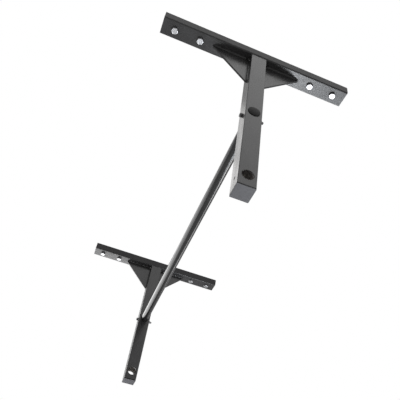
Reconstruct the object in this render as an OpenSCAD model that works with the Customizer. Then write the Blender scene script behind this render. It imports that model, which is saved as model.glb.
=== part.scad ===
// Ceiling mounted kip bar: two welded hanger brackets, one round steel bar, two bar heights.
// X runs along the mounting rails, Y along the bar, Z is up.
// Origin: middle of the plane on which the two ceiling joists rest.

/* [Overall] */
// Distance between the two ceiling joists, centre to centre
joist_pitch = 1219.2; // [800:0.1:1600]
// Length of each arm below its rail, end cap included
arm_len = 600; // [590:1:900]
// Height of the bar below the rail in the upper position
upper_drop = 300; // [180:1:400]
// Height of the bar below the rail in the lower position
lower_drop = 560; // [450:1:560]

/* [Mounting rail] */
// Length of each rail
rail_len = 630; // [590:1:760]
// Width of the horizontal leg
rail_w = 55; // [54:0.5:70]
// Height of the vertical leg, outside
rail_h = 32; // [25:0.5:60]
// Thickness of the angle
rail_t = 5; // [4.5:0.5:8]
// Outside radius at the heel of the angle
heel_r = 4; // [1:0.5:4]
// Radius in the root of the angle
root_r = 3; // [1:0.5:5]
// Radius on the free edges of the angle
edge_r = 1; // [0.5:0.5:2]
// Distance between the two inner mounting holes of a rail
inner_span = 380; // [340:1:420]
// Distance between the two outer mounting holes of a rail
outer_span = 546; // [480:1:560]
// Diameter of the mounting holes
mount_hole_d = 13; // [12.5:0.5:14]

/* [Arm] */
// Outside width of the square tube
tube_w = 50; // [48:0.5:50]
// Wall of the square tube
tube_t = 3; // [2.5:0.5:4]
// Outside corner radius of the square tube
tube_r = 2; // [1.5:0.5:6]
// Diameter of the holes that take the bar
bar_hole_d = 34; // [33:0.5:36]
// Diameter of the cross bolt holes
cross_hole_d = 9; // [8.5:0.5:10]

/* [Gussets] */
// Length of a gusset along the rail
gusset_x = 122; // [80:1:140]
// Length of a gusset down the arm
gusset_z = 126; // [80:1:160]
// Thickness of the gusset plates
gusset_t = 6; // [4:0.5:8]
// Blunt nose at the two thin ends of a gusset
gusset_nose = 5; // [3:0.5:10]
// Snipped corner that clears the weld between arm and rail
gusset_snip = 9; // [8:0.5:15]

/* [Welds] */
// Leg of the fillet welds between arm and rail
arm_fillet = 5; // [4:0.5:6]
// Leg of the fillet welds beside the gussets
gusset_fillet = 4; // [3:0.5:5]

/* [Bar] */
// Outside diameter of the bar
bar_d = 32; // [28:0.5:32.5]
// Wall of the bar
bar_t = 3; // [3:0.5:4]
// Diameter of the round plugs that close the bar and cover its holes
plug_d = 36.5; // [36:0.5:40]
// Height of the plugs' domes above the arm's outer face
plug_crown = 4.4; // [3:0.2:6]

/* [Hardware] */
// Length of the cross bolts under the head
cross_bolt_len = 63.5; // [59:0.5:70]
// Length of the lag screws under the head
lag_len = 50; // [40:1:80]

/* [Hidden] */
$fn = 64;
e = 0.01;
yr = rail_w / 2;              // half the rail width
uz = -rail_t;                 // underside of the rail
yt = tube_w / 2;              // half the tube width
cap_flange = 4;               // thickness of the end cap's flange
tube_len = arm_len - cap_flange;
zt = uz - tube_len;           // lower end of the steel tube
zu = uz - upper_drop;         // bar axis, upper position
zl = uz - lower_drop;         // bar axis, lower position
ya = joist_pitch / 2;         // centre line of an arm
bar_half = ya + yt;           // the bar's cut ends are level with the arms' outer faces
tube_ri = max(tube_r - tube_t, 0.5);  // inside corner radius of the tube
plug_edge = 1.6;              // thickness of a plug's flange at its rim
bolt_d = 7.9;                 // cross bolt shank
bolt_head_d = 12;             // round socket head
bolt_head_h = 8;
socket_af = 6;
socket_depth = 4;
nut_af = 13;
nut_h = 8;                    // lock nut, collar included
nut_hex_h = 5.8;
nut_bore = 8;
nut_collar_d = 11.8;
insert_d = 10.4;              // nylon ring inside the collar
insert_h = 1.7;
lag_d = 12;
lag_head_h = 8;
lag_head_af = 19;
lag_tip = 9;
lag_neck_d = 12.6;            // body of the screw where it fills the rail's hole
lag_neck_h = rail_t + 0.4;

// ---- placing ------------------------------------------------------------------

module at_front() { translate([0, -ya, 0]) children(); }
module at_rear()  { translate([0,  ya, 0]) children(); }
module left()     { mirror([1, 0, 0]) children(); }

// ---- sections -----------------------------------------------------------------

module round_square(w, r) {
    square([w - 2 * r, w], center = true);
    square([w, w - 2 * r], center = true);
    for (sx = [-1, 1], sy = [-1, 1]) translate([sx * (w / 2 - r), sy * (w / 2 - r)]) circle(r);
}

// Angle section: the horizontal leg on the first axis, the vertical leg on the second.
module angle_section() {
    difference() {
        union() {
            // horizontal leg and its free edge
            translate([-yr + heel_r, uz]) square([rail_w - heel_r - edge_r, rail_t]);
            translate([yr - edge_r - e, uz + edge_r]) square([edge_r + e, rail_t - 2 * edge_r]);
            for (z = [uz + edge_r, -edge_r]) translate([yr - edge_r, z]) circle(edge_r);
            // vertical leg and its free edge
            translate([-yr, uz + heel_r]) square([rail_t, rail_h - heel_r - edge_r]);
            translate([-yr + edge_r, uz + rail_h - edge_r - e]) square([rail_t - 2 * edge_r, edge_r + e]);
            for (y = [-yr + edge_r, -yr + rail_t - edge_r]) translate([y, uz + rail_h - edge_r]) circle(edge_r);
            // heel and root
            translate([-yr + heel_r, uz + heel_r]) circle(heel_r);
            translate([-yr + rail_t - e, -e]) square([root_r + e, root_r + e]);
        }
        translate([-yr + rail_t + root_r, root_r]) circle(root_r);
    }
}

// Fillet weld section in the corner below the first axis and beside the second, with a full crown.
module fillet_section(g) {
    polygon([[0, 0], [g, 0], [0.87 * g, -0.33 * g], [0.64 * g, -0.64 * g], [0.33 * g, -0.87 * g], [0, -g]]);
}

// ---- bracket parts, each drawn about the centre line of its own arm ------------

module rail() {
    color([0.17, 0.17, 0.175]) difference() {
        translate([-rail_len / 2, 0, 0]) rotate([90, 0, 90]) linear_extrude(rail_len) angle_section();
        for (x = [-outer_span / 2, -inner_span / 2, inner_span / 2, outer_span / 2])
            translate([x, 0, uz - 1]) cylinder(h = rail_t + 2, d = mount_hole_d);
    }
}

module arm() {
    color([0.2, 0.2, 0.205]) difference() {
        translate([0, 0, zt]) linear_extrude(tube_len) difference() {
            round_square(tube_w, tube_r);
            round_square(tube_w - 2 * tube_t, tube_ri);
        }
        for (z = [zu, zl]) {
            translate([0, 0, z]) rotate([90, 0, 0]) cylinder(h = tube_w + 10, d = bar_hole_d, center = true);
            translate([0, 0, z]) rotate([0, 90, 0]) cylinder(h = tube_w + 10, d = cross_hole_d, center = true);
        }
    }
}

// Gusset plate on the +X side of the arm.
module gusset() {
    color([0.15, 0.15, 0.155]) rotate([90, 0, 0]) translate([0, 0, -gusset_t / 2]) linear_extrude(gusset_t)
        polygon([[yt + gusset_snip, uz], [yt + gusset_x, uz], [yt + gusset_x, uz - gusset_nose],
                 [yt + gusset_nose, uz - gusset_z], [yt, uz - gusset_z], [yt, uz - gusset_snip]]);
}

// Four short fillets beside the gussets and one long one across the far face of the arm.
module arm_weld() {
    flat = yt - tube_r;
    run = flat - gusset_t / 2;
    color([0.13, 0.13, 0.135]) {
        for (m = [0, 1], s = [0, 1]) mirror([m, 0, 0]) mirror([0, s, 0])
            translate([yt, flat, uz]) rotate([90, 0, 0]) linear_extrude(run) fillet_section(arm_fillet);
        translate([-flat, yt, uz]) rotate([90, 0, 90]) linear_extrude(2 * flat)
            fillet_section((rail_w - tube_w) / 2 - edge_r);
    }
}

// Fillets on both faces of one gusset: along the rail, and down the arm.
module gusset_weld() {
    run_x = gusset_x - gusset_snip - 2;
    run_z = gusset_z - gusset_snip - 2;
    color([0.13, 0.13, 0.135]) for (s = [0, 1]) mirror([0, s, 0]) {
        translate([yt + gusset_snip, gusset_t / 2, uz]) rotate([90, 0, 90])
            linear_extrude(run_x) fillet_section(gusset_fillet);
        translate([yt, gusset_t / 2, uz - gusset_snip - run_z])
            linear_extrude(run_z) mirror([0, 1, 0]) fillet_section(gusset_fillet);
    }
}

// Square plastic insert: a flange as wide as the tube, a hollow plug and three sealing ribs.
module end_cap() {
    inner = tube_w - 2 * tube_t;
    plug = inner - 2;
    color([0.28, 0.28, 0.3]) {
        translate([0, 0, zt - cap_flange]) linear_extrude(cap_flange) round_square(tube_w, tube_r);
        translate([0, 0, zt]) linear_extrude(15) difference() {
            round_square(plug, 1.5);
            round_square(plug - 5, 1);
        }
        for (z = [3, 7, 11]) translate([0, 0, zt + z]) linear_extrude(1.2) difference() {
            round_square(inner - 0.3, 1.7);
            round_square(plug - 2, 1);
        }
    }
}

// Hexagon along +Z with the outer end chamfered, af across flats.
module hex_head(af, h, face) {
    intersection() {
        translate([0, 0, face]) cylinder(h = h - face, d = af / cos(30), $fn = 6);
        union() {
            cylinder(h = h - 0.12 * af, d = af * 1.2);
            translate([0, 0, h - 0.12 * af]) cylinder(h = 0.12 * af, d1 = af * 1.2, d2 = af * 0.93);
        }
    }
    cylinder(h = face + e, d = af * 0.94);
}

// Cross bolt along X, its round socket head on the -X face of the arm.
module cross_bolt() {
    color([0.3, 0.3, 0.31]) {
        translate([-yt, 0, zu]) rotate([0, -90, 0]) difference() {
            union() {
                cylinder(h = bolt_head_h - 0.6, d = bolt_head_d);
                translate([0, 0, bolt_head_h - 0.6 - e])
                    cylinder(h = 0.6 + e, d1 = bolt_head_d, d2 = bolt_head_d - 1.2);
            }
            translate([0, 0, bolt_head_h - socket_depth])
                cylinder(h = socket_depth + 1, d = socket_af / cos(30), $fn = 6);
        }
        translate([-yt - 1, 0, zu]) rotate([0, 90, 0]) cylinder(h = cross_bolt_len, d = bolt_d);
        translate([-yt + cross_bolt_len - 1 - e, 0, zu]) rotate([0, 90, 0])
            cylinder(h = 1 + e, d1 = bolt_d, d2 = bolt_d - 1.8);
    }
}

// Lock nut: hexagon with a round collar that holds the nylon ring, drawn on the +X face.
module lock_nut() {
    color([0.5, 0.5, 0.51]) translate([yt, 0, zu]) rotate([0, 90, 0]) difference() {
        union() {
            hex_head(nut_af, nut_hex_h, 0.5);
            cylinder(h = nut_h - 0.8, d = nut_collar_d);
            translate([0, 0, nut_h - 0.8 - e]) cylinder(h = 0.8 + e, d1 = nut_collar_d, d2 = nut_collar_d - 1);
        }
        translate([0, 0, -1]) cylinder(h = nut_h + 2, d = nut_bore);
        translate([0, 0, nut_h - insert_h]) cylinder(h = insert_h + 1, d = insert_d);
    }
}

module nut_insert() {
    color([0.85, 0.85, 0.88]) translate([yt + nut_h - insert_h, 0, zu]) rotate([0, 90, 0]) difference() {
        cylinder(h = insert_h - 0.3, d = insert_d);
        translate([0, 0, -1]) cylinder(h = insert_h + 2, d = nut_bore);
    }
}

// Four lag screws, heads against the underside of the rail, shanks standing up into the joist.
module lag_screws() {
    color([0.75, 0.75, 0.76])
        for (x = [-outer_span / 2, -inner_span / 2, inner_span / 2, outer_span / 2]) translate([x, 0, uz]) {
            mirror([0, 0, 1]) hex_head(lag_head_af, lag_head_h, 0.6);
            translate([0, 0, -1]) cylinder(h = lag_neck_h + 1, d = lag_neck_d);
            translate([0, 0, -1]) cylinder(h = lag_len - lag_tip + 1, d = lag_d);
            translate([0, 0, lag_len - lag_tip - e]) cylinder(h = lag_tip + e, d1 = lag_d, d2 = 1);
        }
}

// ---- bar ------------------------------------------------------------------------

module grip_bar() {
    color([0.62, 0.62, 0.63]) difference() {
        translate([0, bar_half, zu]) rotate([90, 0, 0]) cylinder(h = 2 * bar_half, d = bar_d);
        translate([0, bar_half + 1, zu]) rotate([90, 0, 0]) cylinder(h = 2 * bar_half + 2, d = bar_d - 2 * bar_t);
        for (y = [-ya, ya]) translate([0, y, zu]) rotate([0, 90, 0])
            cylinder(h = bar_d + 10, d = cross_hole_d, center = true);
    }
}

// Round plastic plug with a low dome, drawn with the bar's end at the origin and the bar on the -Z side.
module plug() {
    rim = plug_d / 2;
    sag = plug_crown - plug_edge;
    dome_r = (rim * rim + sag * sag) / (2 * sag);
    body = bar_d - 2 * bar_t;
    color([0.1, 0.1, 0.1]) {
        intersection() {
            cylinder(h = plug_crown, r = rim);
            translate([0, 0, plug_crown - dome_r]) sphere(dome_r, $fn = 128);
        }
        translate([0, 0, -9]) cylinder(h = 9 + e, d = body - 1.4);
        for (z = [2, 4.5, 7]) translate([0, 0, -z - 0.8]) cylinder(h = 0.8, d = body - 0.2);
    }
}

// ---- nodes ------------------------------------------------------------------------

at_front() rail();  // rail_front
at_rear() rail();  // rail_rear
at_front() arm();  // arm_front
at_rear() arm();  // arm_rear
at_front() left() gusset();  // gusset_front_left
at_front() gusset();  // gusset_front_right
at_rear() left() gusset();  // gusset_rear_left
at_rear() gusset();  // gusset_rear_right
at_front() arm_weld();  // arm_weld_front
at_rear() arm_weld();  // arm_weld_rear
at_front() left() gusset_weld();  // gusset_weld_front_left
at_front() gusset_weld();  // gusset_weld_front_right
at_rear() left() gusset_weld();  // gusset_weld_rear_left
at_rear() gusset_weld();  // gusset_weld_rear_right
at_front() end_cap();  // end_cap_front
at_rear() end_cap();  // end_cap_rear
grip_bar();
translate([0, -bar_half, zu]) rotate([90, 0, 0]) plug();  // bar_plug_front
translate([0, bar_half, zu]) rotate([-90, 0, 0]) plug();  // bar_plug_rear
at_front() cross_bolt();  // cross_bolt_front
at_rear() cross_bolt();  // cross_bolt_rear
at_front() lock_nut();  // lock_nut_front
at_rear() lock_nut();  // lock_nut_rear
at_front() nut_insert();  // nut_insert_front
at_rear() nut_insert();  // nut_insert_rear
at_front() lag_screws();  // lag_screws_front
at_rear() lag_screws();  // lag_screws_rear
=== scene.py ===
import bpy
import bmesh
import math
from mathutils import Matrix, Vector, noise


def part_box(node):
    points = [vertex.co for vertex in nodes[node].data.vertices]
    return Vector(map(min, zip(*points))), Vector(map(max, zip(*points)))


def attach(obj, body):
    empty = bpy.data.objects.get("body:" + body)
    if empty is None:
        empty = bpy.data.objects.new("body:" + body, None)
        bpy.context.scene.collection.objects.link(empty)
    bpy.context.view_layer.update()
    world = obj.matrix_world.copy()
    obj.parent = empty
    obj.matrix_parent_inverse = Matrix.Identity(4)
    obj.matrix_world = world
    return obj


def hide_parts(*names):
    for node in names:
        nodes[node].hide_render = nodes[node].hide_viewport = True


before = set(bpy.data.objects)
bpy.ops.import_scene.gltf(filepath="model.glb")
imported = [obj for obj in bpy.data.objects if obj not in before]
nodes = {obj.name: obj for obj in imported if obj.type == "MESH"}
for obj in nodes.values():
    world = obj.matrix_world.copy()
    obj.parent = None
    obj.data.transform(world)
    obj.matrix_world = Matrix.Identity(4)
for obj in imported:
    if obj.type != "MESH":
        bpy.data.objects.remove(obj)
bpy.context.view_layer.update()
MM = 0.001
scene = bpy.context.scene
scene.view_settings.view_transform = "Standard"

# ------------------------------------------------------------------ places, all from the CAD frame

rail_lo, rail_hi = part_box("rail_front")
arm_lo, arm_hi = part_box("arm_front")
bar_lo, bar_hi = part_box("grip_bar")
bolt_lo, bolt_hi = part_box("cross_bolt_front")
nut_lo, nut_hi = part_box("lock_nut_front")
lag_lo, lag_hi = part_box("lag_screws_front")
rear_lo, rear_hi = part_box("arm_rear")

YA = (rear_lo.y + rear_hi.y) / 2            # centre line of the rear arm; the front one is at -YA
TUBE = arm_hi.x - arm_lo.x                  # outside width of the square tube
YT = TUBE / 2
TUBE_R = 2.0 * MM                             # outside corner radius of the tube
UNDER = arm_hi.z                            # underside of the rails
ZB = (bar_lo.z + bar_hi.z) / 2              # bar axis
BAR_R = (bar_hi.z - bar_lo.z) / 2
BAR_END = bar_hi.y
SIDES = {"front": -YA, "rear": YA}

# ------------------------------------------------------------------ materials


def new_material(name):
    m = bpy.data.materials.new(name)
    m.use_nodes = True
    nt = m.node_tree
    nt.nodes.clear()
    out = nt.nodes.new("ShaderNodeOutputMaterial")
    bsdf = nt.nodes.new("ShaderNodeBsdfPrincipled")
    nt.links.new(bsdf.outputs[0], out.inputs[0])
    return m, nt, bsdf


def coords(nt, scale=(1, 1, 1)):
    tc = nt.nodes.new("ShaderNodeTexCoord")
    mp = nt.nodes.new("ShaderNodeMapping")
    mp.inputs["Scale"].default_value = scale
    nt.links.new(tc.outputs["Object"], mp.inputs["Vector"])
    return mp.outputs["Vector"]


def noise_tex(nt, vec, scale, detail=3.0, rough=0.55):
    n = nt.nodes.new("ShaderNodeTexNoise")
    n.inputs["Scale"].default_value = scale
    n.inputs["Detail"].default_value = detail
    n.inputs["Roughness"].default_value = rough
    nt.links.new(vec, n.inputs["Vector"])
    return n.outputs["Fac"]


def ramp(nt, fac, stops):
    r = nt.nodes.new("ShaderNodeValToRGB")
    el = r.color_ramp.elements
    while len(el) > len(stops):
        el.remove(el[-1])
    while len(el) < len(stops):
        el.new(0.5)
    for e, (p, c) in zip(el, stops):
        e.position = p
        e.color = (*c, 1) if len(c) == 3 else c
    nt.links.new(fac, r.inputs["Fac"])
    return r.outputs["Color"]


def remap(nt, fac, a, b, c, d):
    r = nt.nodes.new("ShaderNodeMapRange")
    for k, v in zip(("From Min", "From Max", "To Min", "To Max"), (a, b, c, d)):
        r.inputs[k].default_value = v
    nt.links.new(fac, r.inputs["Value"])
    return r.outputs["Result"]


def bump(nt, height, strength, distance, under=None):
    b = nt.nodes.new("ShaderNodeBump")
    b.inputs["Strength"].default_value = strength
    b.inputs["Distance"].default_value = distance
    nt.links.new(height, b.inputs["Height"])
    if under is not None:
        nt.links.new(under, b.inputs["Normal"])
    return b.outputs["Normal"]


def powder_coat(name, dark, light, rough, peel=0.22):
    """Satin powder coat: orange peel, fine grain, faint cloudiness and dust on it."""
    m, nt, b = new_material(name)
    v = coords(nt)
    cloud = noise_tex(nt, v, 14, 4)
    nt.links.new(ramp(nt, cloud, [(0.3, dark), (0.72, light)]), b.inputs["Base Color"])
    grain = noise_tex(nt, v, 900, 2)
    smear = noise_tex(nt, coords(nt, (1, 1, 0.35)), 38, 4)
    mix = nt.nodes.new("ShaderNodeMath")
    mix.operation = "ADD"
    nt.links.new(remap(nt, grain, 0.3, 0.7, -0.025, 0.025), mix.inputs[0])
    nt.links.new(remap(nt, smear, 0.3, 0.7, rough - 0.04, rough + 0.05), mix.inputs[1])
    nt.links.new(mix.outputs[0], b.inputs["Roughness"])
    n1 = bump(nt, noise_tex(nt, v, 420, 1.5, 0.4), peel, 0.00012)
    n2 = bump(nt, noise_tex(nt, v, 2600, 2), 0.12, 0.00004, n1)
    nt.links.new(n2, b.inputs["Normal"])
    b.inputs["IOR"].default_value = 1.5
    return m


def bar_coat(name):
    """Gloss black coat on the bar: faint rings from drawing and polishing, handling haze, slight waviness."""
    m, nt, b = new_material(name)
    haze = noise_tex(nt, coords(nt, (1, 0.35, 1)), 22, 4)
    nt.links.new(ramp(nt, haze, [(0.3, (0.010, 0.0098, 0.010)), (0.7, (0.015, 0.0147, 0.015))]), b.inputs["Base Color"])
    rings = noise_tex(nt, coords(nt, (0.02, 1, 0.02)), 1500, 3, 0.7)
    add = nt.nodes.new("ShaderNodeMath")
    add.operation = "ADD"
    nt.links.new(remap(nt, rings, 0.3, 0.7, -0.02, 0.02), add.inputs[0])
    nt.links.new(remap(nt, haze, 0.3, 0.7, 0.12, 0.18), add.inputs[1])
    nt.links.new(add.outputs[0], b.inputs["Roughness"])
    wave = bump(nt, noise_tex(nt, coords(nt, (1, 0.5, 1)), 160, 1.5, 0.4), 0.25, 0.00005)
    nt.links.new(bump(nt, rings, 0.08, 0.00003, wave), b.inputs["Normal"])
    b.inputs["IOR"].default_value = 1.62
    return m


def plated(name, dark, light, rough, metallic=1.0, strength=0.2):
    """Plated or blackened fastener: cloudy plating, fine forging texture."""
    m, nt, b = new_material(name)
    b.inputs["Metallic"].default_value = metallic
    v = coords(nt)
    spots = noise_tex(nt, v, 260, 4)
    nt.links.new(ramp(nt, spots, [(0.32, dark), (0.68, light)]), b.inputs["Base Color"])
    nt.links.new(remap(nt, noise_tex(nt, v, 700, 3), 0.3, 0.7, rough - 0.06, rough + 0.08), b.inputs["Roughness"])
    nt.links.new(bump(nt, noise_tex(nt, v, 1400, 3), strength, 0.00005), b.inputs["Normal"])
    return m


def plastic(name, dark, light, rough, grain_scale, strength):
    """Moulded plastic with a spark-eroded grain."""
    m, nt, b = new_material(name)
    v = coords(nt)
    nt.links.new(ramp(nt, noise_tex(nt, v, 30, 3), [(0.3, dark), (0.7, light)]), b.inputs["Base Color"])
    grain = noise_tex(nt, v, grain_scale, 3, 0.6)
    nt.links.new(remap(nt, grain, 0.3, 0.7, rough - 0.05, rough + 0.07), b.inputs["Roughness"])
    nt.links.new(bump(nt, grain, strength, 0.00006), b.inputs["Normal"])
    return m


def bare_inside_and_hole_shade(mat, centres, half, hole_z, hole_r):
    """Uncoated mill steel on the inside of the square tubes, and painted shade on the walls of the small free bolt
    holes.
    """
    nt = mat.node_tree
    b = nt.nodes["Principled BSDF"]
    tc = nt.nodes.new("ShaderNodeTexCoord")
    sep = nt.nodes.new("ShaderNodeSeparateXYZ")
    nt.links.new(tc.outputs["Object"], sep.inputs[0])

    def less(value, limit):
        n = nt.nodes.new("ShaderNodeMath")
        n.operation = "LESS_THAN"
        nt.links.new(value, n.inputs[0])
        n.inputs[1].default_value = limit
        return n.outputs[0]

    def arith(op, x, y=None):
        n = nt.nodes.new("ShaderNodeMath")
        n.operation = op
        for k, v in enumerate((x, y)):
            if v is None:
                continue
            if isinstance(v, float):
                n.inputs[k].default_value = v
            else:
                nt.links.new(v, n.inputs[k])
        return n.outputs[0]

    # both arms lie the same distance from the middle, so the distance from the middle is enough
    off = arith("ABSOLUTE", arith("SUBTRACT", arith("ABSOLUTE", sep.outputs["Y"]), centres))
    mask = arith("MULTIPLY", less(arith("ABSOLUTE", sep.outputs["X"]), half), less(off, half))
    def cover(where, socket, value):
        mix = nt.nodes.new("ShaderNodeMix")
        mix.data_type = "RGBA" if socket == "Base Color" else "FLOAT"
        ia, ib, io = (6, 7, 2) if socket == "Base Color" else (2, 3, 0)
        nt.links.new(where, mix.inputs[0])
        if b.inputs[socket].links:
            nt.links.new(b.inputs[socket].links[0].from_socket, mix.inputs[ia])
        else:
            mix.inputs[ia].default_value = b.inputs[socket].default_value
        mix.inputs[ib].default_value = value
        nt.links.new(mix.outputs[io], b.inputs[socket])

    cover(mask, "Base Color", (0.55, 0.53, 0.51, 1))
    cover(mask, "Roughness", 0.55)
    # painted shade: the walls of the small free bolt holes get a near-black colour and almost no specular, standing in
    # for the shade inside the holes
    drop = arith("SUBTRACT", sep.outputs["Z"], hole_z)
    near = less(arith("ADD", arith("MULTIPLY", off, off), arith("MULTIPLY", drop, drop)), hole_r * hole_r)
    hole_wall_painted_shade = arith("MULTIPLY", near, arith("GREATER_THAN", arith("ABSOLUTE", sep.outputs["X"]), half))
    cover(hole_wall_painted_shade, "Base Color", (0.004, 0.004, 0.004, 1))
    cover(hole_wall_painted_shade, "Specular IOR Level", 0.04)
    return mat


def shade_seam(mat, z_low):
    """The sides of the end caps' flanges lie in the seam's shade and look darker than their undersides."""
    nt = mat.node_tree
    b = nt.nodes["Principled BSDF"]
    tc = nt.nodes.new("ShaderNodeTexCoord")
    sep = nt.nodes.new("ShaderNodeSeparateXYZ")
    nt.links.new(tc.outputs["Object"], sep.inputs[0])
    up = nt.nodes.new("ShaderNodeMapRange")
    nt.links.new(sep.outputs["Z"], up.inputs["Value"])
    for k, v in zip(("From Min", "From Max", "To Min", "To Max"), (z_low + 0.6 * MM, z_low + 1.0 * MM, 0.0, 1.0)):
        up.inputs[k].default_value = v
    mix = nt.nodes.new("ShaderNodeMix")
    mix.data_type = "RGBA"
    nt.links.new(up.outputs["Result"], mix.inputs[0])
    nt.links.new(b.inputs["Base Color"].links[0].from_socket, mix.inputs[6])
    mix.inputs[7].default_value = (0.008, 0.008, 0.0085, 1)
    nt.links.new(mix.outputs[2], b.inputs["Base Color"])
    lower = nt.nodes.new("ShaderNodeMapRange")
    nt.links.new(up.outputs["Result"], lower.inputs["Value"])
    lower.inputs["To Min"].default_value = 0.5
    lower.inputs["To Max"].default_value = 0.12
    nt.links.new(lower.outputs["Result"], b.inputs["Specular IOR Level"])


MAT = {
    "black_powder_coat": powder_coat("black_powder_coat", (0.027, 0.0264, 0.0272), (0.038, 0.0374, 0.0382), 0.25),
    "coated_weld": powder_coat("coated_weld", (0.020, 0.0198, 0.0203), (0.030, 0.0295, 0.030), 0.2, 0.2),
    "bar_gloss_black": bar_coat("bar_gloss_black"),
    "cap_plastic": plastic("cap_plastic", (0.060, 0.059, 0.066), (0.076, 0.075, 0.083), 0.5, 1800, 0.35),
    "plug_plastic": plastic("plug_plastic", (0.004, 0.004, 0.0043), (0.007, 0.007, 0.0073), 0.6, 1200, 0.12),
    "bolt_black_oxide": plated("bolt_black_oxide", (0.13, 0.13, 0.134), (0.19, 0.188, 0.19), 0.33, 0.85),
    "screw_zinc": plated("screw_zinc", (0.52, 0.53, 0.55), (0.66, 0.66, 0.67), 0.34),
    "nylon": plastic("nylon", (0.62, 0.63, 0.66), (0.72, 0.73, 0.75), 0.42, 1500, 0.1),
}
MAT["plug_plastic"].node_tree.nodes["Principled BSDF"].inputs["Specular IOR Level"].default_value = 0.25
MAT["nylon"].node_tree.nodes["Principled BSDF"].inputs["Subsurface Weight"].default_value = 0.3
MAT["nylon"].node_tree.nodes["Principled BSDF"].inputs["Subsurface Radius"].default_value = (0.002, 0.002, 0.002)

def shade_minus_y_faces(mat, level, rough):
    """Painted shade: the rails' outer upright faces, which look toward -Y, carry a duller coat with a low specular
    level, so they read darker.
    """
    nt = mat.node_tree
    b = nt.nodes["Principled BSDF"]
    tc = nt.nodes.new("ShaderNodeTexCoord")
    sep = nt.nodes.new("ShaderNodeSeparateXYZ")
    nt.links.new(tc.outputs["Normal"], sep.inputs[0])
    mask = nt.nodes.new("ShaderNodeMapRange")
    nt.links.new(sep.outputs["Y"], mask.inputs["Value"])
    for k, v in zip(("From Min", "From Max", "To Min", "To Max"), (-0.80, -0.95, 0.0, 1.0)):
        mask.inputs[k].default_value = v
    old = b.inputs["Roughness"].links[0].from_socket
    mix = nt.nodes.new("ShaderNodeMix")
    mix.data_type = "FLOAT"
    nt.links.new(mask.outputs["Result"], mix.inputs[0])
    nt.links.new(old, mix.inputs[2])
    mix.inputs[3].default_value = rough
    nt.links.new(mix.outputs[0], b.inputs["Roughness"])
    spec = nt.nodes.new("ShaderNodeMix")
    spec.data_type = "FLOAT"
    nt.links.new(mask.outputs["Result"], spec.inputs[0])
    spec.inputs[2].default_value = 0.5
    spec.inputs[3].default_value = level
    nt.links.new(spec.outputs[0], b.inputs["Specular IOR Level"])
    return mat


rail_coat = powder_coat("rail_coat", (0.031, 0.0303, 0.0312), (0.043, 0.0423, 0.0432), 0.25, 0.08)
# painted shade on the rails' faces that look toward -Y
MAT["rail_coat"] = shade_minus_y_faces(rail_coat, 0.16, 0.45)
tube_coat = powder_coat("tube_coat", (0.029, 0.0284, 0.0292), (0.041, 0.0404, 0.0412), 0.25)
HOLE_Z = bar_lo.z / 2 + bar_hi.z / 2 - 260 * MM      # the free, lower set of holes
# the tube coat also carries painted shade on the walls of the small free bolt holes
MAT["tube_coat"] = bare_inside_and_hole_shade(tube_coat, float(YA), float(YT - 2.6 * MM), float(HOLE_Z), 5.1 * MM)
shade_seam(MAT["cap_plastic"], float(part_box("end_cap_front")[0].z))

# ------------------------------------------------------------------ mesh helpers


def add_object(name, bm, slot, *replaced, smooth_angle=32):
    bmesh.ops.remove_doubles(bm, verts=bm.verts, dist=1e-7)
    bmesh.ops.recalc_face_normals(bm, faces=bm.faces)
    limit = math.radians(smooth_angle)
    for f in bm.faces:
        f.smooth = True
    for e in bm.edges:
        e.smooth = not (len(e.link_faces) == 2 and e.calc_face_angle(0) > limit)
    me = bpy.data.meshes.new(name)
    bm.to_mesh(me)
    bm.free()
    ob = bpy.data.objects.new(name, me)
    scene.collection.objects.link(ob)
    me.materials.append(MAT[slot])
    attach(ob, "root")
    if replaced:
        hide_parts(*replaced)
    return ob


def sweep(bm, rings, place, cap_first=None, cap_last=None):
    """Quads between rings of points. A cap is the centre point of a fan, or None for an open end."""
    made = [[bm.verts.new(place @ p) for p in ring] for ring in rings]
    n = len(rings[0])
    for a, b in zip(made, made[1:]):
        for i in range(n):
            bm.faces.new((a[i], a[(i + 1) % n], b[(i + 1) % n], b[i]))
    for ring, cap in ((made[0], cap_first), (made[-1], cap_last)):
        if cap is not None:
            c = bm.verts.new(place @ cap)
            for i in range(n):
                bm.faces.new((ring[i], ring[(i + 1) % n], c))
    return made


def hex_radius(af, phi):
    """Distance from the centre to a hexagon's edge in the direction phi."""
    t = (phi % (math.pi / 3)) - math.pi / 6
    return af / 2 / math.cos(t)


def thread_radius(phi, z, minor, major, pitch, width):
    """Radius of a right-hand helical ridge."""
    u = (z / pitch - phi / (2 * math.pi)) % 1.0
    return minor + (major - minor) * max(0.0, min(1.0, (1 - abs(u - 0.5) * 2 / width) * 1.25))


def ease(x):
    x = max(0.0, min(1.0, x))
    return x * x * (3 - 2 * x)


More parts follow.
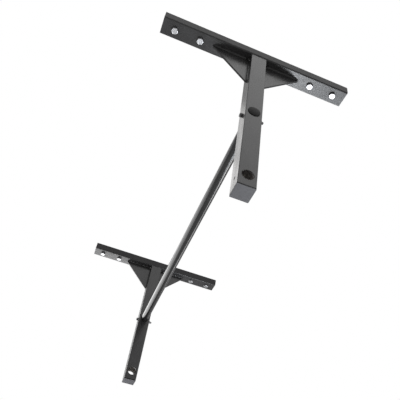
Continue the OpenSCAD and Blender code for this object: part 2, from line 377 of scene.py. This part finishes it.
def hexagon_part(bm, place, af, h, n, top=None):
    """Outline rings of a hexagon from its outer face (at z = h) to its seat (at z = 0)."""
    ring = [2 * math.pi * i / n for i in range(n)]
    r_top = 0.465 * af
    out = []

    def add(fr, fz):
        out.append([Vector((fr(p) * math.cos(p), fr(p) * math.sin(p), fz(p))) for p in ring])

    if top is None:
        add(lambda p: 0.18 * af, lambda p: h - 0.10 * MM)
        add(lambda p: 0.38 * af, lambda p: h - 0.08 * MM)
        add(lambda p: 0.43 * af, lambda p: h)
    else:
        for r, z in top:
            add(lambda p, r=r: r, lambda p, z=z: z)
    add(lambda p: r_top, lambda p: h)
    slope = math.tan(math.radians(30))
    rim = lambda p: h - (hex_radius(af, p) - r_top) * slope
    add(lambda p: r_top + 0.55 * (hex_radius(af, p) - r_top), lambda p: h - 0.55 * (hex_radius(af, p) - r_top) * slope)
    add(lambda p: hex_radius(af, p) - 0.12 * MM, lambda p: rim(p) + 0.03 * MM)
    add(lambda p: hex_radius(af, p), lambda p: rim(p) - 0.15 * MM)
    add(lambda p: hex_radius(af, p), lambda p: 0.5 * (rim(p) + 0.6 * MM))
    add(lambda p: hex_radius(af, p), lambda p: 0.75 * MM)
    add(lambda p: hex_radius(af, p) - 0.25 * MM, lambda p: 0.5 * MM)
    add(lambda p: 0.475 * af, lambda p: 0.45 * MM)
    add(lambda p: 0.47 * af, lambda p: 0.35 * MM)
    add(lambda p: 0.47 * af, lambda p: 0.0)
    return out


def socket_head(r_head, h, socket_af, depth, n):
    """Outline rings of a round socket head, from the middle of the socket's bottom to the seat at z = 0."""
    ring = [2 * math.pi * i / n for i in range(n)]
    out = []

    def add(fr, z):
        out.append([Vector((fr(p) * math.cos(p), fr(p) * math.sin(p), z)) for p in ring])

    add(lambda p: 0.5 * socket_af * 0.3, h - depth)
    add(lambda p: hex_radius(socket_af, p) - 0.05 * MM, h - depth)
    add(lambda p: hex_radius(socket_af, p), h - depth + 0.05 * MM)
    add(lambda p: hex_radius(socket_af, p), h - 0.35 * MM)
    add(lambda p: socket_af / 2 / math.cos(math.pi / 6) + 0.12 * MM, h)
    add(lambda p: r_head - 0.75 * MM, h)
    for k in range(1, 6):
        a = math.radians(90 * k / 5)
        add(lambda p, a=a: r_head - 0.75 * MM + 0.6 * MM * math.sin(a), h - 0.6 * MM + 0.6 * MM * math.cos(a))
    # fine knurl round the head: the radius goes in and out between the rings
    knurl = lambda p: r_head - 0.14 * MM * (0.5 + 0.5 * math.cos(p * n / 2))
    add(knurl, h - 0.9 * MM)
    add(knurl, 1.1 * MM)
    add(lambda p: r_head - 0.15 * MM, 0.8 * MM)
    add(lambda p: r_head - 0.15 * MM, 0.2 * MM)
    add(lambda p: r_head - 0.35 * MM, 0.0)
    return out


def bolt(bm, place, af, h, shank_r, length, thread_from, pitch, minor_r, width, tip_r, tip_len, neck=None, n=72, steps=11, head=None):
    """A bolt or screw: outer face of the head at z = h, seat at z = 0, shank along -z. Hexagon head unless other rings are given."""
    rings = head or hexagon_part(bm, place, af, h, n)
    ang = [2 * math.pi * i / n for i in range(n)]
    circle = lambda r, z: [Vector((r * math.cos(p), r * math.sin(p), z)) for p in ang]
    first = (neck[0] if neck else shank_r)
    rings.append(circle(first + 0.4 * MM, 0.0))
    rings.append(circle(first, -0.4 * MM))
    if neck:
        rings.append(circle(neck[0], -neck[1] + 0.25 * MM))
        rings.append(circle(shank_r, -neck[1]))
    rings.append(circle(shank_r, -thread_from + 0.3 * MM))
    z = thread_from
    while z < length:
        grow = ease((z - thread_from) / (1.2 * pitch))
        left = length - z
        cut = 1.0 if left > tip_len else tip_r / shank_r + (1 - tip_r / shank_r) * left / tip_len
        ring = []
        for p in ang:
            r = shank_r + (thread_radius(p, z, minor_r, shank_r, pitch, width) - shank_r) * grow
            ring.append(Vector((min(r, shank_r * cut) * math.cos(p), min(r, shank_r * cut) * math.sin(p), -z)))
        rings.append(ring)
        z += pitch / steps
    rings.append(circle(tip_r, -length))
    top = rings[0][0].z
    sweep(bm, rings, place, Vector((0, 0, top)), Vector((0, 0, -length)))


def bead(bm, place, leg_a, leg_b, length, seed, period=3.1 * MM):
    """Rippled fillet weld. It runs along +x; legs lie along +y and +z of the placing matrix, corner at the origin."""
    step = 0.42 * MM
    count = max(8, int(length / step))
    cross = 11
    sink = 0.08 * MM
    rings = []
    for i in range(count + 1):
        s = length * i / count
        end = min(s, length - s)
        taper = math.sqrt(max(0.0, 1 - (1 - min(1.0, end / (0.8 * leg_a))) ** 2)) * 0.82 + 0.18
        wander = 1 + 0.07 * noise.noise(Vector((s * 90, seed * 3.7, 0)))
        ring = [Vector((s, -sink, -sink))]
        for j in range(cross + 1):
            t = j / cross
            th = t * math.pi / 2
            lag = 1.5 * MM * math.sin(math.pi * t)
            w = ((s + lag) / period + 0.16 * noise.noise(Vector((s * 160, seed * 1.3, 4)))) % 1.0
            ripple = (1 - abs(2 * w - 1) ** 1.6) - 0.55
            a, b = leg_a * (0.9 + 0.06 * noise.noise(Vector((s * 210, seed, 9)))), leg_b * (0.9 + 0.06 * noise.noise(Vector((s * 190, seed, 17))))
            flat = 1 / (abs(math.cos(th)) / a + abs(math.sin(th)) / b)
            r = flat * (1 + 0.24 * math.sin(2 * th)) * wander * (1 + 0.055 * ripple * math.sin(2 * th) ** 0.5 if 0 < j < cross else 1) * taper
            y, z = r * math.cos(th), r * math.sin(th)
            if j == 0:
                z = -sink
            if j == cross:
                y = -sink
            ring.append(Vector((s, y, z)))
        rings.append(ring)
    c0 = Vector((0, leg_a * 0.04, leg_b * 0.04))
    c1 = Vector((length, leg_a * 0.04, leg_b * 0.04))
    sweep(bm, rings, place, c0, c1)


def axes(origin, x, y, z):
    """Matrix that puts local x, y, z along the given directions."""
    m = Matrix((x, y, z)).transposed().to_4x4()
    m.translation = Vector(origin)
    return m


X, Y, Z = Vector((1, 0, 0)), Vector((0, 1, 0)), Vector((0, 0, 1))

# ------------------------------------------------------------------ camera, before the rest is made

right = Vector((0.93206624, -0.3416728, 0.1204667))
down = Vector((0.31142427, 0.58571474, -0.74830018))
ahead = Vector((0.1851147, 0.73498159, 0.65233014))
cam_data = bpy.data.cameras.new("camera")
cam = bpy.data.objects.new("camera", cam_data)
scene.collection.objects.link(cam)
cam.matrix_world = axes((-0.252175, -1.340142, -1.424348), right, -down, -ahead)
cam_data.sensor_width = 36.0
cam_data.lens = 474.70 * 36.0 / 400.0
cam_data.shift_x = -0.0174
cam_data.shift_y = 0.096275
cam_data.clip_start = 0.05
cam_data.clip_end = 60
scene.camera = cam

# ------------------------------------------------------------------ plates and tubes that keep their CAD shape


def carry(name, slot, bevel=0.0, segments=3, angle=32):
    """A CAD node keeps its mesh and gets softened edges and a detailed material."""
    ob = nodes[name]
    me = ob.data
    if "custom_normal" in me.attributes and bevel:
        me.attributes.remove(me.attributes["custom_normal"])
    for i in range(max(1, len(me.materials))):
        if i < len(me.materials):
            me.materials[i] = MAT[slot]
        else:
            me.materials.append(MAT[slot])
    if bevel:
        if "sharp_edge" in me.attributes:
            me.attributes.remove(me.attributes["sharp_edge"])
        me.polygons.foreach_set("use_smooth", [True] * len(me.polygons))
        w = ob.modifiers.new("join", "WELD")
        w.merge_threshold = 2e-6
        d = ob.modifiers.new("flatten", "DECIMATE")
        d.decimate_type = "DISSOLVE"
        d.angle_limit = math.radians(0.6)
        b = ob.modifiers.new("soft_edges", "BEVEL")
        b.width = bevel
        b.segments = segments
        b.limit_method = "ANGLE"
        b.angle_limit = math.radians(angle)
        b.use_clamp_overlap = True
        wn = ob.modifiers.new("normals", "WEIGHTED_NORMAL")
        wn.mode = "FACE_AREA"
        wn.weight = 80
        wn.keep_sharp = False
    return ob


for side in SIDES:
    carry(f"rail_{side}", "rail_coat", 0.55 * MM)
    carry(f"arm_{side}", "tube_coat", 0.45 * MM)
    carry(f"end_cap_{side}", "cap_plastic", 0.9 * MM)
    for hand in ("left", "right"):
        carry(f"gusset_{side}_{hand}", "black_powder_coat", 0.8 * MM)
    carry(f"nut_insert_{side}", "nylon", 0.12 * MM)
carry("grip_bar", "bar_gloss_black")

# ------------------------------------------------------------------ welds

for side, y0 in SIDES.items():
    lo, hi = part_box(f"arm_weld_{side}")
    leg = hi.z - lo.z
    flat = hi.x - leg
    bm = bmesh.new()
    seed = 1 if side == "front" else 40
    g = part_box(f"gusset_{side}_right")
    half_t = (g[1].y - g[0].y) / 2
    run = (YT - TUBE_R) - half_t
    for sx in (-1, 1):
        for sy in (-1, 1):
            seed += 1
            place = axes((sx * YT, y0 + sy * (half_t + 0.3 * MM), UNDER), Y * sy, X * sx, -Z)
            bead(bm, place, leg, leg, run - 0.3 * MM, seed)
    seed += 1
    small = hi.y - (y0 + YT)
    bead(bm, axes((-(YT - TUBE_R), y0 + YT, UNDER), X, Y, -Z), small * 1.05, small * 1.25, TUBE - 2 * TUBE_R, seed, 2.2 * MM)
    add_object(f"weld_arm_{side}", bm, "coated_weld", f"arm_weld_{side}", smooth_angle=60)

    for hand, sx in (("left", -1), ("right", 1)):
        name = f"gusset_weld_{side}_{hand}"
        wlo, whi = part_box(name)
        far = max(abs(wlo.x), abs(whi.x))
        glo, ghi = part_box(f"gusset_{side}_{hand}")
        gleg = whi.y - ghi.y
        snip = 9 * MM
        bm = bmesh.new()
        for sy in (-1, 1):
            seed += 1
            run_x = far - YT - snip
            bead(bm, axes((sx * (YT + snip), y0 + sy * half_t, UNDER), X * sx, Y * sy, -Z), gleg, gleg, run_x, seed)
            seed += 1
            run_z = UNDER - snip - wlo.z
            bead(bm, axes((sx * YT, y0 + sy * half_t, UNDER - snip), -Z, Y * sy, X * sx), gleg, gleg, run_z, seed)
        add_object(f"weld_gusset_{side}_{hand}", bm, "coated_weld", name, smooth_angle=60)

# ------------------------------------------------------------------ lag screws, cross bolts, nuts

rail_screws = sorted({round(v.co.x, 4) for v in nodes["lag_screws_front"].data.vertices if v.co.z > lag_hi.z - 0.1 * MM})
holes = []
for x in rail_screws:
    if not holes or x - holes[-1][-1] > 0.05:
        holes.append([x])
    else:
        holes[-1].append(x)
hole_x = [sum(h) / len(h) for h in holes]
head_h = UNDER - lag_lo.z
lag_af = 19 * MM
turns = {"front": (8, 23, 41, 14), "rear": (35, 4, 19, 52)}
for side, y0 in SIDES.items():
    bm = bmesh.new()
    for x, turn in zip(hole_x, turns[side]):
        place = Matrix.Translation((x, y0, UNDER)) @ Matrix.Rotation(math.pi, 4, "X") @ Matrix.Rotation(math.radians(turn), 4, "Z")
        bolt(bm, place, lag_af, head_h, 6 * MM, lag_hi.z - UNDER, 13 * MM, 4.2 * MM, 4.3 * MM, 0.62, 0.6 * MM, 9 * MM,
             neck=(6.3 * MM, 5.4 * MM), n=60, steps=9)
    add_object(f"lag_screw_set_{side}", bm, "screw_zinc", f"lag_screws_{side}", smooth_angle=34)

nut_af = 13 * MM
bolt_head = -YT - bolt_lo.x
bolt_r = (bolt_hi.z - bolt_lo.z) / 2
for side, y0 in SIDES.items():
    bm = bmesh.new()
    turn = 17 if side == "front" else 44
    place = Matrix.Translation((-YT, y0, ZB)) @ Matrix.Rotation(-math.pi / 2, 4, "Y") @ Matrix.Rotation(math.radians(turn), 4, "Z")
    bolt(bm, place, 0, bolt_head, 3.95 * MM, bolt_hi.x + YT, 38 * MM, 1.25 * MM, 3.3 * MM, 0.85, 3.05 * MM, 1.0 * MM, n=96, steps=8,
         head=socket_head(bolt_r, bolt_head, 6 * MM, 4 * MM, 96))
    add_object(f"bolt_through_{side}", bm, "bolt_black_oxide", f"cross_bolt_{side}", smooth_angle=34)

    bm = bmesh.new()
    nut_h = nut_hi.x - nut_lo.x
    hex_h = 5.8 * MM
    bore = 4.0 * MM
    seat = nut_h - 1.7 * MM
    place = Matrix.Translation((YT, y0, ZB)) @ Matrix.Rotation(math.pi / 2, 4, "Y") @ Matrix.Rotation(math.radians(turn + 12), 4, "Z")
    n = 72
    collar = [(5.2 * MM, seat), (5.2 * MM, nut_h - 0.25 * MM), (5.3 * MM, nut_h - 0.05 * MM), (5.42 * MM, nut_h), (5.52 * MM, nut_h - 0.06 * MM),
              (5.72 * MM, nut_h - 0.35 * MM), (5.86 * MM, nut_h - 0.8 * MM), (5.9 * MM, nut_h - 1.2 * MM), (5.9 * MM, hex_h + 0.2 * MM), (6.0 * MM, hex_h)]
    rings = hexagon_part(bm, place, nut_af, hex_h, n, top=[(bore, seat)] + collar)
    ang = [2 * math.pi * i / n for i in range(n)]
    circle = lambda r, z: [Vector((r * math.cos(p), r * math.sin(p), z)) for p in ang]
    rings.append(circle(4.6 * MM, 0.0))
    rings.append(circle(bore, 0.5 * MM))
    rings.append(circle(bore, seat))
    sweep(bm, rings, place)
    add_object(f"nut_{side}", bm, "bolt_black_oxide", f"lock_nut_{side}", smooth_angle=34)

# ------------------------------------------------------------------ bar plugs

for side, sy in (("front", -1), ("rear", 1)):
    lo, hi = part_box(f"bar_plug_{side}")
    rim = (hi.x - lo.x) / 2
    crown = 4.4 * MM
    sag = crown - 1.6 * MM
    dome = (rim * rim + sag * sag) / (2 * sag)
    top = lambda r: crown - dome + math.sqrt(dome * dome - r * r)
    n = 96
    ang = [2 * math.pi * i / n for i in range(n)]
    circle = lambda r, z: [Vector((r * math.cos(p), r * math.sin(p), z)) for p in ang]
    rings = [circle(0.7 * MM, top(0.7 * MM) - 0.18 * MM), circle(1.0 * MM, top(1.0 * MM) - 0.02 * MM)]
    for k in range(1, 16):
        r = 1.0 * MM + (rim - 0.45 * MM - 1.0 * MM) * k / 15
        rings.append(circle(r, top(r)))
    for k in range(1, 6):
        a = math.radians(20 + 70 * k / 5)
        rings.append(circle(rim - 0.4 * MM + 0.4 * MM * math.sin(a), top(rim - 0.4 * MM) - 0.4 * MM + 0.4 * MM * math.cos(a)))
    inner = 13.0 * MM
    rings.append(circle(rim, 0.02 * MM))
    rings.append(circle(inner - 0.7 * MM, 0.02 * MM))
    z = -1.6 * MM
    while z > -8.2 * MM:
        rings += [circle(inner - 0.7 * MM, z), circle(inner - 0.08 * MM, z - 0.35 * MM), circle(inner - 0.08 * MM, z - 0.75 * MM), circle(inner - 0.7 * MM, z - 1.3 * MM)]
        z -= 2.5 * MM
    rings.append(circle(inner - 1.2 * MM, -9.0 * MM))
    place = Matrix.Translation((0, sy * BAR_END, ZB)) @ Matrix.Rotation(-sy * math.pi / 2, 4, "X")
    bm = bmesh.new()
    sweep(bm, rings, place, Vector((0, 0, top(0) - 0.2 * MM)), Vector((0, 0, -9.0 * MM)))
    add_object(f"plug_{side}", bm, "plug_plastic", f"bar_plug_{side}", smooth_angle=50)

# ------------------------------------------------------------------ floor, light, world

ROOM = 0.40
LOBES = [((0.18, -0.52, 0.84), 10, 45, 1.15)]

FLOOR = -2.45
bm = bmesh.new()
bmesh.ops.create_grid(bm, x_segments=2, y_segments=2, size=14)
bmesh.ops.translate(bm, verts=bm.verts, vec=(0, 0, FLOOR))
me = bpy.data.meshes.new("floor")
bm.to_mesh(me)
bm.free()
floor = bpy.data.objects.new("floor", me)
scene.collection.objects.link(floor)
fm, nt, b = new_material("floor_pale")
v = coords(nt)
nt.links.new(ramp(nt, noise_tex(nt, v, 1.4, 3), [(0.35, (0.50, 0.50, 0.50)), (0.65, (0.54, 0.54, 0.535))]), b.inputs["Base Color"])
b.inputs["Roughness"].default_value = 0.75
me.materials.append(fm)

world = bpy.data.worlds.new("world")
scene.world = world
world.use_nodes = True
wn = world.node_tree
wn.nodes.clear()
wout = wn.nodes.new("ShaderNodeOutputWorld")
bg = wn.nodes.new("ShaderNodeBackground")
bg.inputs["Color"].default_value = (1, 1, 1, 1)
bg.inputs["Strength"].default_value = 1.0


def world_lobe(aim, inner, outer, strength, tint=(1, 1, 1)):
    """A soft round glow in the sky about the direction aim; inner and outer are half angles in degrees."""
    d = Vector(aim).normalized()
    dot = wn.nodes.new("ShaderNodeVectorMath")
    dot.operation = "DOT_PRODUCT"
    wn.links.new(sky_dir, dot.inputs[0])
    dot.inputs[1].default_value = d
    r = wn.nodes.new("ShaderNodeMapRange")
    r.interpolation_type = "SMOOTHSTEP"
    r.inputs["From Min"].default_value = math.cos(math.radians(outer))
    r.inputs["From Max"].default_value = math.cos(math.radians(inner))
    r.inputs["To Min"].default_value = 0.0
    r.inputs["To Max"].default_value = strength
    wn.links.new(dot.outputs["Value"], r.inputs["Value"])
    e = wn.nodes.new("ShaderNodeBackground")
    e.inputs["Color"].default_value = (*tint, 1)
    wn.links.new(r.outputs["Result"], e.inputs["Strength"])
    return e.outputs[0]


tc = wn.nodes.new("ShaderNodeTexCoord")
sky_dir = tc.outputs["Generated"]
room = wn.nodes.new("ShaderNodeBackground")
room.inputs["Color"].default_value = (1, 1, 1, 1)
room.inputs["Strength"].default_value = ROOM
glow = room.outputs[0]
for lobe in LOBES:
    add = wn.nodes.new("ShaderNodeAddShader")
    wn.links.new(glow, add.inputs[0])
    wn.links.new(world_lobe(*lobe), add.inputs[1])
    glow = add.outputs[0]
# the camera sees a plain white sweep; the object is lit and reflects the studio
path = wn.nodes.new("ShaderNodeLightPath")
pick = wn.nodes.new("ShaderNodeMixShader")
wn.links.new(path.outputs["Is Camera Ray"], pick.inputs[0])
wn.links.new(glow, pick.inputs[1])
wn.links.new(bg.outputs[0], pick.inputs[2])
wn.links.new(pick.outputs[0], wout.inputs[0])


def softbox(name, at, aim, size, radiance, tint=(1, 1, 1)):
    d = bpy.data.lights.new(name, "AREA")
    d.shape = "RECTANGLE"
    d.size, d.size_y = size
    d.energy = radiance * math.pi * size[0] * size[1]
    d.color = tint
    ob = bpy.data.objects.new(name, d)
    scene.collection.objects.link(ob)
    ob.location = at
    ob.rotation_mode = "QUATERNION"
    ob.rotation_quaternion = (Vector(aim) - Vector(at)).to_track_quat("-Z", "Y")
    ob.visible_camera = False
    return ob


softbox("low_right", (1.60, 0.65, -2.35), (0.3, -0.5, -0.1), (1.4, 1.3), 9.0, (0.90, 0.95, 1.0))
softbox("low_right_inner", (0.72, 0.45, -2.40), (0.72, 0.45, 0.0), (0.46, 0.90), 13.0, (0.93, 0.96, 1.0))
# a bright wall at the far left, fading to the left and downward, and a low strip that ends it on the right
softbox("wall_a", (-0.84, 1.8, -0.15), (-0.84, 0.0, -0.15), (0.92, 1.6), 3.1)
softbox("wall_a_high", (-0.84, 1.8, 0.95), (-0.84, 0.0, 0.95), (0.92, 0.6), 1.4)
softbox("wall_b", (-1.70, 1.8, 0.15), (-1.70, 0.0, 0.15), (0.8, 2.2), 1.7)
softbox("wall_c", (-2.60, 1.8, 0.15), (-2.60, 0.0, 0.15), (1.0, 2.2), 1.2)
softbox("wall_foot", (-1.20, 1.8, -1.22), (-1.20, 0.0, -1.22), (1.8, 0.54), 1.7)
softbox("wall_low", (-0.17, 1.8, -0.78), (-0.17, 0.0, -0.78), (0.40, 0.36), 5.5)
softbox("right_card_near", (2.42, 1.45, -1.4), (0.0, -0.4, -0.3), (1.0, 0.8), 7.0)
softbox("right_card_far", (2.05, 2.45, -1.25), (0.0, 0.2, -0.3), (1.0, 0.7), 3.0)
softbox("front_ceiling", (-0.50, 0.75, 1.5), (-0.50, 0.75, 0.0), (0.66, 0.50), 1.15, (1.0, 0.99, 0.98))
softbox("front_ceiling_far", (-0.54, 1.17, 1.5), (-0.54, 1.17, 0.0), (0.66, 0.34), 1.75, (1.0, 0.99, 0.98))
softbox("front_ceiling_left", (-1.55, 1.20, 1.5), (-1.55, 1.20, 0.0), (1.36, 1.60), 0.9)
softbox("front_ceiling_edge", (-0.35, 0.15, 1.5), (-0.35, 0.15, 0.0), (1.2, 0.7), 0.12, (1.0, 0.97, 0.93))
